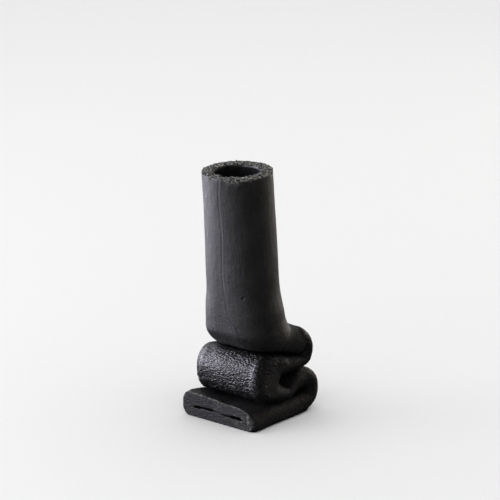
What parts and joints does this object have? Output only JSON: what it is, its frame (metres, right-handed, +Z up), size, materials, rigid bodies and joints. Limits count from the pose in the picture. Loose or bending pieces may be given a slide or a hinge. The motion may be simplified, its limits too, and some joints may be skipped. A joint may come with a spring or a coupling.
{
  "type": "vase",
  "caption": "Black stoneware vase with an upright round tube neck above a flattened tube folded back and forth as its base.",
  "frame": {"origin": "centre of the bounding box, on the table surface", "axes": "+Z up, the cut end of the foot faces -Y, X across the flattened tube"},
  "size_m": [0.09, 0.1056, 0.2413],
  "materials": {
    "stoneware": "matt unglazed black clay with fine grog",
    "pebbled_stoneware": "satin, stretched into a pebbled skin",
    "smoothed_stoneware": "satin, smoothed by hand, with faint upright streaks",
    "liner_glaze": "gloss"
  },
  "bodies": {
    "root": {"foot_run": "stoneware", "lower_fold": "stoneware", "middle_run": "stoneware", "front_fold": "pebbled_stoneware", "upper_run": "stoneware", "upper_fold": "stoneware", "neck_tube": "smoothed_stoneware", "neck_glaze": "liner_glaze"}
  },
  "joints": []
}
